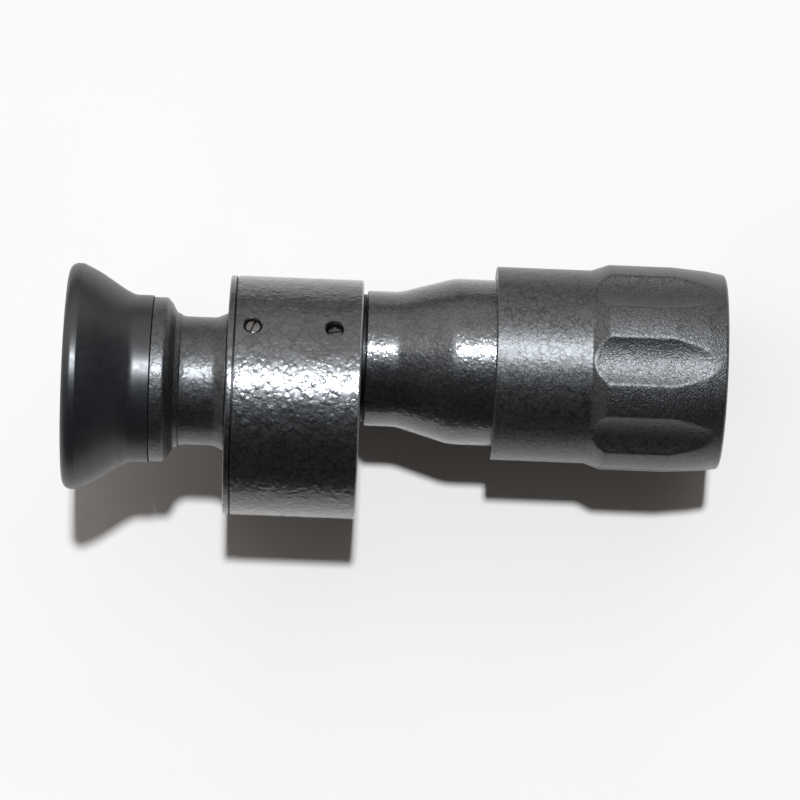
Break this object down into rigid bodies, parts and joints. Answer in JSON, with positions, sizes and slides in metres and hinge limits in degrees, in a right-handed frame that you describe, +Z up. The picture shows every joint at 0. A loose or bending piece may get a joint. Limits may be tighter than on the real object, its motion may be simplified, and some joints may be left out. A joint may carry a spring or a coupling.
{
  "type": "hand telescope",
  "caption": "Compact hand telescope with a flared eyecup, an off-centre prism drum, a tapered tube and a fluted focus sleeve, lying on its side.",
  "frame": {"origin": "middle of the bounding box on the plane that the instrument lies on", "axes": "+X along the optical axis from the eyecup to the objective, +Z up from the surface it lies on, +Y to the side that the objective tube is offset to"},
  "size_m": [0.1254, 0.0506, 0.0527],
  "materials": {
    "hammertone": "grey-black hammertone enamel, glossy",
    "eyecup_black": "satin black moulded plastic",
    "blackened_metal": "matt black anodised",
    "screw_steel": "blackened steel, worn bright at the edges",
    "spring_steel": "bright spring steel",
    "glass": "polished, coated optical glass"
  },
  "bodies": {
    "housing": {"prism_housing": "hammertone", "prism_cover": "hammertone", "prism_carrier": "blackened_metal", "prism_first": "glass", "prism_second": "glass", "prism_strap_first": "spring_steel", "prism_strap_second": "spring_steel", "strap_screw_first_1": "screw_steel", "strap_screw_first_2": "screw_steel", "strap_screw_second_1": "screw_steel", "strap_screw_second_2": "screw_steel", "set_screw_rear": "screw_steel", "set_screw_front": "screw_steel", "tube_lock_ring": "blackened_metal", "objective_tube": "hammertone", "tube_baffle": "blackened_metal", "guide_pin": "screw_steel", "travel_stop_ring": "blackened_metal", "eyepiece_housing": "hammertone", "eyepiece_retaining_ring": "blackened_metal", "eye_lens_flint": "glass", "eye_lens_crown": "glass", "eyepiece_spacer": "blackened_metal", "field_lens": "glass", "field_stop": "blackened_metal"},
    "eyecup": {"eyecup": "eyecup_black"},
    "objective_carriage": {"objective_cell": "blackened_metal", "objective_flint_lens": "glass", "objective_crown_lens": "glass", "objective_retaining_ring": "blackened_metal"},
    "focus_sleeve": {"focus_sleeve": "hammertone", "cell_thrust_ring": "blackened_metal", "sleeve_front_ring": "blackened_metal"}
  },
  "joints": [
    {"name": "focus_travel", "type": "slide", "parent": "housing", "child": "objective_carriage", "axis": [1, 0, 0], "range_m": [-0.0055, 0.003]},
    {"name": "focus_turn", "type": "hinge", "parent": "objective_carriage", "child": "focus_sleeve", "pos_m": [0.03735, 0.0053, 0.02], "axis": [1, 0, 0], "range_deg": [-166, 91]},
    {"name": "eyecup_turn", "type": "hinge", "parent": "housing", "child": "eyecup", "pos_m": [-0.05065, 0.00201, 0.03112], "axis": [-1, 0, 0], "range_deg": [0, 90]}
  ],
  "couplings": [
    {"joint": "focus_turn", "follows": "focus_travel", "rad_per_m": 523.6}
  ]
}
